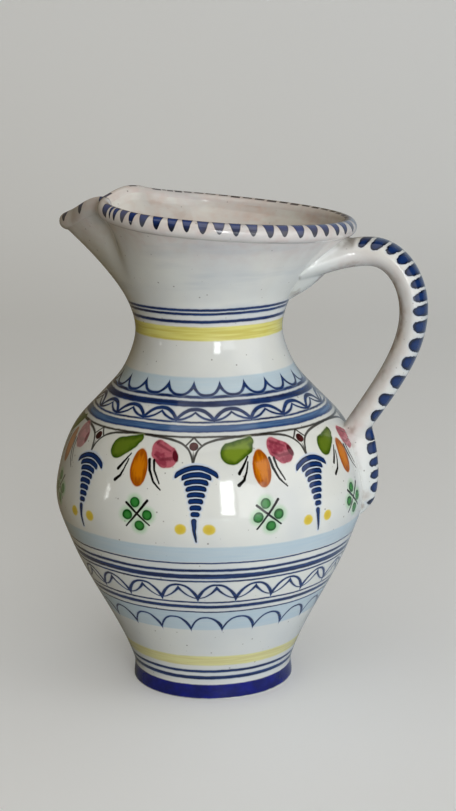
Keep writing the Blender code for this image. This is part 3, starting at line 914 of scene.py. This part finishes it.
def make_body(tree):
    under, outside, inside = body_profile()
    outer_glaze, clay = body_glaze(), foot_clay()
    lining = inside_glaze()
    body, length = turned_piece("painted_body", tree, outside + inside, 340, outer_glaze)
    foot_stop = profile_length(under) - 0.4
    wall_stop = profile_length(outside)
    split_materials(body.data, (foot_stop, wall_stop + 0.8), (clay, outer_glaze, lining))
    lay_flat(body.data, (
        (0.0, 0.0), (foot_stop, 0.06), (wall_stop, 0.87), (wall_stop + 3.0, 0.88), (length, 1.0),
    ))
    return body, lining


def smooth_step(value):
    held = min(max(value, 0.0), 1.0)
    return held * held * (3.0 - 2.0 * held)


def beak_squeeze(angle):
    rim = LIP_RADIUS + ROLL
    side = BEAK_SIDE / rim
    nose = (BEAK_REACH - BEAK_SIDE) / rim
    fade = smooth_step((angle - BEAK_CREASE) / (BEAK_FADE - BEAK_CREASE))
    return side + (1.0 - side) * fade + nose * exp(-((angle / BEAK_NOSE) ** 2))


def rim_lift(angle):
    if angle > BEAK_CREASE:
        return SHOULDER_LIFT * ((pi - angle) / (pi - BEAK_CREASE)) ** 1.8
    share = 0.5 - 0.5 * cos(pi * angle / BEAK_CREASE)
    return TIP_LIFT + (SHOULDER_LIFT - TIP_LIFT) * share**0.7


def pinch_beak(mesh):
    """Draws the mouth into a beak, presses the roll flat along it, and folds a crease on each side of it."""
    start = SEAM_Z + SEAM_BEVEL
    for vertex in mesh.vertices:
        x, y, z = vertex.co / MM
        angle = abs(atan2(y, -x))
        share = smooth_step((z - start) / (LIP_Z - start))
        radius = hypot(x, y)
        flat = PRESS_SHARE * smooth_step((PRESS_END - angle) / PRESS_END_RUN)
        flat *= smooth_step((angle - PRESS_START) / PRESS_START_RUN)
        if z > LIP_Z - 0.01 and radius > LIP_RADIUS:
            radius = LIP_RADIUS + (radius - LIP_RADIUS) * (1.0 - flat)
        fold = angle - FOLD
        depth = FOLD_DEPTH if y < 0.0 else FAR_FOLD_DEPTH
        width = FOLD_TO_SIDE if fold > 0.0 else FOLD_TO_BEAK
        dent = depth * exp(-((fold / width) ** 2)) * share**FOLD_FADE
        factor = 1.0 + (beak_squeeze(angle) - 1.0) * share
        radius = radius * factor - dent
        lift = rim_lift(angle) + CREST_LIFT * exp(-(((angle - CREST) / CREST_HALF) ** 2))
        turn = atan2(y, x)
        vertex.co = Vector((radius * cos(turn), radius * sin(turn), z + lift * share)) * MM


def make_collar(tree, lining):
    outer = [(radius + 0.04, z) for radius, z in wall_points(SEAM_Z - 1.2, LIP_Z, 1.2)]
    roll = []
    for i in range(1, 29):
        angle = -0.5 * pi + 1.5 * pi * i / 28
        roll.append((LIP_RADIUS + ROLL * cos(angle), LIP_Z + ROLL + ROLL * sin(angle)))
    bottom = SEAM_Z + SEAM_BEVEL
    inner = [point for point in wall_points(bottom, LIP_Z, 2.0, COLLAR_WALL)[:-1] if point[1] > bottom]
    base = (wall_radius(bottom) - BODY_WALL, bottom)
    profile = outer + roll + inner[::-1] + [base, outer[0]]
    bead_start = profile_length(outer)
    bead_end = bead_start + profile_length([outer[-1]] + roll)
    glaze = collar_glaze(bead_start, bead_end)
    collar, length = turned_piece("painted_collar", tree, profile, 190, glaze)
    split_materials(collar.data, (bead_end - 0.5,), (glaze, lining))
    lay_flat(collar.data, ((0.0, 0.0), (bead_end, 0.74), (length, 1.0)))
    pinch_beak(collar.data)
    return collar


# Handle

def bezier(start, lean_start, lean_end, end, count):
    points = []
    for i in range(count):
        t = i / count
        s = 1.0 - t
        points.append(start * s**3 + lean_start * (3 * s * s * t) + lean_end * (3 * s * t * t) + end * t**3)
    return points


def strap_path():
    """Middle line of the strap in (x, z), from inside the collar's wall to inside the belly's wall."""
    upper_z, lower_z = LIP_Z - UPPER_JOINT_DROP, BELLY_Z + LOWER_JOINT_RISE
    out = Vector((cos(UPPER_JOINT_ANGLE), sin(UPPER_JOINT_ANGLE)))
    into = -Vector((cos(LOWER_JOINT_ANGLE), sin(LOWER_JOINT_ANGLE)))
    upper = Vector((wall_radius(upper_z), upper_z)) - out * STRAP_ROOT_DEPTH
    lower = Vector((wall_radius(lower_z), lower_z)) + into * STRAP_ROOT_DEPTH
    top = Vector((LIP_RADIUS + STRAP_TOP_REACH, LIP_Z - STRAP_TOP_DROP))
    bow = Vector((BELLY_RADIUS + STRAP_STANDOFF, LIP_Z - STRAP_BOW_DROP))
    flat, fall = Vector((1.0, 0.0)), Vector((0.0, -1.0))
    along = (top - upper).length * 0.36
    over, down = (bow.x - top.x) * 0.55, (top.y - bow.y) * 0.55
    run = (bow - lower).length
    points = bezier(upper, upper + out * along, top - flat * along, top, 20)
    points += bezier(top, top + flat * over, bow - fall * down, bow, 24)
    points += bezier(bow, bow + fall * (run * 0.27), lower - into * (run * 0.46), lower, 30)
    return points + [lower]


def strap_tree():
    """Sweeps an oval section along a path in the XZ plane."""
    inputs = (("Path", "Geometry"), ("Section steps", "Int"), ("Path steps", "Int"), ("Glaze", "Material"))
    nodes, given, sheet, turn, share, spot = form_tree("pulled_strap", inputs, "Strap")
    side = nodes.vector("NORMALIZE", nodes.vector("CROSS_PRODUCT", spot.out("Tangent"), (0.0, 1.0, 0.0)))
    scale = share.slide(0.45, 1.0, STRAP_START, STRAP_END)
    thick = nodes.math("COSINE", turn) * (STRAP_THICK * MM) * scale * share.ease(0.0, 0.2, 0.45, 0.5)
    spread = share.ease(0.0, 0.21, 1.0, 0.0) * STRAP_SPREAD + 1.0
    taper = share.slide(0.45, 1.0, STRAP_START, STRAP_END_WIDTH)
    wide = nodes.math("SINE", turn) * (STRAP_WIDTH * MM) * taper * spread * 0.5
    place = nodes.vector("MULTIPLY_ADD", side, thick, spot)
    return finish_form(nodes, given, sheet, nodes.vector("ADD", place, nodes.join(0.0, wide, 0.0)))


def upper_wad(edit):
    """Clay smeared round the strap's upper end, thinning out to nothing on the collar's wall."""
    middle, half_height, half_width = LIP_Z - 16.0, 17.0, 19.0
    swell, bed, sink = 6.2, 5.0, 0.7
    made = bmesh.ops.create_uvsphere(edit, u_segments=48, v_segments=28, radius=1.0)["verts"]
    for vertex in made:
        out, side, up = vertex.co
        z = middle + half_height * up
        out = (swell * out**2.0 if out > 0.0 else bed * out) - sink
        lean = wall_lean(z)
        length = hypot(1.0, lean)
        turn = half_width * side / wall_radius(middle)
        radius = wall_radius(z) + out / length
        vertex.co = Vector((radius * cos(turn), radius * sin(turn), z - out * lean / length)) * MM


# Down the lower wad: share of its length, clay over the wall, half width
WAD_STOPS = (0.0, 0.13, 0.27, 0.44, 0.54, 0.65, 0.80, 0.87, 1.0)
WAD_CLAY = (12.8, 11.8, 10.6, 9.3, 8.4, 7.2, 5.6, 3.9, 0.6)
WAD_HALF = (7.0, 7.4, 7.8, 8.2, 8.2, 7.8, 6.2, 4.6, 1.0)


def lower_wad(edit):
    """Thumbed clay under the strap's lower end, drawn out into a tail down the belly."""
    head, tail = BELLY_Z + 34.0, BELLY_Z - 13.5
    steps, sides = 40, 32
    rings = []
    for i in range(steps + 1):
        share = i / steps
        clay = float(np.interp(share, WAD_STOPS, WAD_CLAY))
        half = float(np.interp(share, WAD_STOPS, WAD_HALF))
        z = head + (tail - head) * share
        lean = wall_lean(z)
        length = hypot(1.0, lean)
        ring = []
        for k in range(sides):
            turn = 2.0 * pi * k / sides
            out = cos(turn)
            out = clay * out**1.35 if out > 0.0 else 0.8 * clay * out
            spot = (wall_radius(z) + (out - 0.4) / length, half * sin(turn), z - out * lean / length)
            ring.append(edit.verts.new(Vector(spot) * MM))
        rings.append(ring)
    for low, high in zip(rings, rings[1:]):
        for k in range(sides):
            edit.faces.new((low[k], low[k - 1], high[k - 1], high[k]))
    edit.faces.new(rings[0])
    edit.faces.new(rings[-1][::-1])


def mark_strap(mesh, path):
    """Stores each point's millimetres along the handle and its angle from the back's middle, to paint by."""
    # The painted line leaves the strap above the belly and runs on down the wad
    line = list(path)
    while line[-1].y < BELLY_Z + 45.0 and line[-1].x < 100.0:
        line.pop()
    z = BELLY_Z + 26.0
    while z > BELLY_Z - 15.0:
        line.append(Vector((wall_radius(z) + 4.5, z)))
        z -= 1.0
    spots = np.array([(p.x, p.y) for p in line])
    runs = np.concatenate([[0.0], np.cumsum(np.hypot(*np.diff(spots, axis=0).T))])
    fine = np.linspace(0.0, runs[-1], 500)
    spots = np.stack([np.interp(fine, runs, spots[:, 0]), np.interp(fine, runs, spots[:, 1])], 1)
    tangents = np.gradient(spots, axis=0)
    tangents /= np.linalg.norm(tangents, axis=1)[:, None]
    backs = np.stack([-tangents[:, 1], tangents[:, 0]], 1)
    places = np.empty(len(mesh.vertices) * 3)
    mesh.vertices.foreach_get("co", places)
    places = places.reshape(-1, 3) / MM
    gaps = np.hypot(places[:, None, 0] - spots[None, :, 0], places[:, None, 2] - spots[None, :, 1])
    near = gaps.argmin(1)
    out = ((places[:, [0, 2]] - spots[near]) * backs[near]).sum(1)
    around = np.degrees(np.arctan2(np.abs(places[:, 1]) / (0.5 * STRAP_WIDTH), out / (0.5 * STRAP_THICK)))
    marks = np.stack([fine[near], around, np.zeros(len(near))], 1)
    layer = mesh.attributes.new("strap", "FLOAT_VECTOR", "POINT")
    layer.data.foreach_set("vector", marks.ravel())


def make_handle(tree):
    """Strap and wads as one fired piece: joined, skinned over, smoothed, and bedded in the vessel's wall."""
    glaze = strap_glaze()
    path = strap_path()
    strap = grown("painted_handle", path, tree, {"Section steps": 41, "Path steps": 150, "Glaze": glaze})
    with working(strap.data) as edit:
        bmesh.ops.remove_doubles(edit, verts=edit.verts, dist=WELD)
        bmesh.ops.holes_fill(edit, edges=edit.edges, sides=0)
        upper_wad(edit)
        lower_wad(edit)
        bmesh.ops.recalc_face_normals(edit, faces=edit.faces)
    skin = strap.modifiers.new("skin", "REMESH")
    skin.mode = "VOXEL"
    skin.voxel_size = SKIN_CELL * MM
    handle = settled(strap)
    with working(handle.data) as edit:
        every_axis = {"use_axis_x": True, "use_axis_y": True, "use_axis_z": True}
        for _round in range(SKIN_ROUNDS):
            bmesh.ops.smooth_vert(edit, verts=edit.verts, factor=0.5, **every_axis)
        for vertex in edit.verts:
            x, y, z = vertex.co / MM
            radius = hypot(x, y)
            floor = wall_radius(z) - SKIN_BED if z < LIP_Z - 0.5 else 0.0
            if 0.0 < radius < floor:
                vertex.co.x *= floor / radius
                vertex.co.y *= floor / radius
    mark_strap(handle.data, path)
    handle.data.materials.clear()
    handle.data.materials.append(glaze)
    handle.data.shade_smooth()
    return handle


# Stage, light and camera

FLOOR_HALF, FLOOR_FRONT, FLOOR_BACK = 4.0, -3.0, 1.2
SWEEP_RADIUS, WALL_RISE = 0.8, 2.6


def make_stage():
    """A floor that sweeps up into a wall: half of its steps are flat, a quarter bend and a quarter rise."""
    mesh = bpy.data.meshes.new("floor")
    rows = []
    with working(mesh) as edit:
        for i in range(33):
            share = i / 32
            turn = 0.5 * pi * min(max(4.0 * share - 2.0, 0.0), 1.0)
            y = FLOOR_FRONT + (FLOOR_BACK - FLOOR_FRONT) * min(2.0 * share, 1.0) + SWEEP_RADIUS * sin(turn)
            z = SWEEP_RADIUS * (1.0 - cos(turn)) + WALL_RISE * max(4.0 * share - 3.0, 0.0)
            rows.append([edit.verts.new((x, y, z)) for x in (-FLOOR_HALF, FLOOR_HALF)])
        for low, high in zip(rows, rows[1:]):
            edit.faces.new((low[0], low[1], high[1], high[0]))
        edit.transform(Matrix.Rotation(radians(10), 4, "Z"))
    mesh.shade_smooth()
    floor = new_object("floor", mesh)
    material, nodes, mm = new_material("pale_floor")
    seen = nodes.make("ShaderNodeLightPath", out="Is Camera Ray")
    # The floor looks plain, but throws a warmer light on the left and a cooler one on the right
    east = nodes.split(mm)[0]
    bounce = nodes.blend(east.ease(-220.0, 160.0), colour(146, 134, 110), colour(214, 228, 244))
    tone = nodes.blend(seen, bounce, colour(222, 224, 228))
    glow = nodes.blend(seen, (0.0, 0.0, 0.0, 1.0), (0.19, 0.19, 0.185, 1.0))
    nodes.surface(Base_Color=tone, Roughness=0.6, Emission_Color=glow, Emission_Strength=1.0)
    mesh.materials.append(material)


DAYLIGHT = (0.96, 0.99, 1.0)
SIDE_LIGHT = (0.96, 0.98, 1.0)
ROOM_TINT = (1.0, 0.87, 0.58, 1.0)
BELLY_AIM = (0.0, 0.0, 0.12)

# Name, place, aim, size, power, tint, and whether the glaze mirrors the lamp.
# The two softboxes only light the clay: mirrored in the glaze they would veil the painting.
LAMPS = (
    ("window_pane", (0.8, -2.02, 0.56), BELLY_AIM, (0.36, 0.82), 8.8, DAYLIGHT, True),
    ("curtained_pane", (1.4, -1.7, 0.4), BELLY_AIM, (0.8, 0.76), 4.6, DAYLIGHT, True),
    ("window_softbox", (1.06, -1.9, 0.55), BELLY_AIM, (0.95, 1.15), 14.0, DAYLIGHT, False),
    ("far_pane", (-2.13, -0.76, 0.3), BELLY_AIM, (0.1, 0.18), 0.3, (1.0, 1.0, 0.98), True),
    ("open_side", (2.2, -0.75, 0.8), BELLY_AIM, (1.8, 1.8), 9.5, SIDE_LIGHT, True),
    ("side_softbox", (2.2, -0.75, 0.8), BELLY_AIM, (1.8, 1.8), 5.6, SIDE_LIGHT, False),
    ("ceiling", (0.2, -0.4, 2.3), (0.0, 0.0, 0.1), (2.0, 2.0), 11.0, (1.0, 0.98, 0.94), True),
)


def make_light():
    world = bpy.data.worlds.new("soft_room")
    bpy.context.scene.world = world
    world.use_nodes = True
    world.node_tree.nodes.clear()
    nodes = Nodes(world.node_tree)
    room = nodes.make("ShaderNodeBackground", None, Color=ROOM_TINT, Strength=0.165)
    backdrop = nodes.make("ShaderNodeBackground", None, Color=(0.52, 0.52, 0.5, 1.0), Strength=1.0)
    mirrored = nodes.make("ShaderNodeBackground", None, Color=ROOM_TINT, Strength=0.05)
    path = nodes.make("ShaderNodeLightPath")
    room = nodes.make("ShaderNodeMixShader", None, path.out("Is Glossy Ray"), room, mirrored)
    room = nodes.make("ShaderNodeMixShader", None, path.out("Is Camera Ray"), room, backdrop)
    nodes.make("ShaderNodeOutputWorld", None, room)
    for name, place, aim, size, power, tint, in_mirror in LAMPS:
        light = bpy.data.lights.new(name, "AREA")
        light.shape = "RECTANGLE"
        light.size, light.size_y = size
        light.energy = power
        light.color = tint
        obj = new_object(name, light)
        obj.location = place
        obj.rotation_euler = (Vector(aim) - Vector(place)).to_track_quat("-Z", "Y").to_euler()
        obj.visible_glossy = in_mirror


def make_camera():
    camera = bpy.data.cameras.new("camera")
    camera.sensor_fit = "VERTICAL"
    camera.sensor_height = 36.0
    camera.lens = FOCAL_PIXELS / PICTURE_HEIGHT * 36.0
    camera.clip_start = 0.05
    obj = new_object("camera", camera)
    aim = Matrix.Rotation(CAMERA_TURN, 4, "Z") @ Matrix.Rotation(0.5 * pi - CAMERA_DIP, 4, "X")
    obj.matrix_world = Matrix.Translation(CAMERA_PLACE) @ aim @ Matrix.Rotation(CAMERA_ROLL, 4, "Z")
    bpy.context.scene.camera = obj


def main():
    bpy.context.scene.view_settings.view_transform = "Standard"
    make_camera()
    make_light()
    make_stage()
    turning = turning_tree()
    body, lining = make_body(turning)
    collar = make_collar(turning, lining)
    handle = make_handle(strap_tree())
    for piece, nodes, slot in (
        (body, ("body",), "body_glaze"),
        (collar, ("mouth_collar",), "collar_glaze"),
        (handle, ("handle_strap", "upper_wad", "lower_wad"), "strap_glaze"),
    ):
        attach(piece, "root")
        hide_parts(*nodes)


main()
